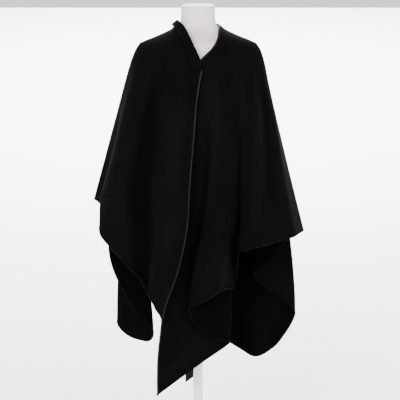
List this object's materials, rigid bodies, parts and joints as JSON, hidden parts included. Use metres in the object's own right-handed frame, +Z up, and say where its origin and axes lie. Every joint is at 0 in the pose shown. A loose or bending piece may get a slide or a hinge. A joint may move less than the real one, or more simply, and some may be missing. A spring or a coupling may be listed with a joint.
{
  "type": "open-fronted wool poncho, draped on a limbless dress form with its stand",
  "caption": "Draped wool cape with pointed fronts and bound edges, hanging on a limbless dress form with a pole stand.",
  "frame": {"origin": "centre of the underside of the stand's foot, on the floor", "axes": "+Z up along the pole; the wearer faces -Y; the wearer's right side is at -X"},
  "size_m": [0.6748, 0.3818, 1.5233],
  "materials": {
    "wool_cloth": "matte brushed wool",
    "edge_binding": "slightly shiny bias binding",
    "label_tape": "matte woven tape",
    "form_shell": "matte",
    "stand_paint": "satin"
  },
  "bodies": {
    "root": {"front_right": "wool_cloth", "front_right_hem_binding": "edge_binding", "front_right_edge_binding": "edge_binding", "front_right_lapel": "wool_cloth", "front_right_lapel_binding": "edge_binding", "front_left": "wool_cloth", "front_left_hem_binding": "edge_binding", "front_left_edge_binding": "edge_binding", "back": "wool_cloth", "back_hem_binding": "edge_binding", "back_neck_binding": "edge_binding", "label": "label_tape", "form_torso": "form_shell", "form_neck_cap": "form_shell", "stand_pole": "stand_paint", "stand_foot": "stand_paint"}
  },
  "joints": []
}
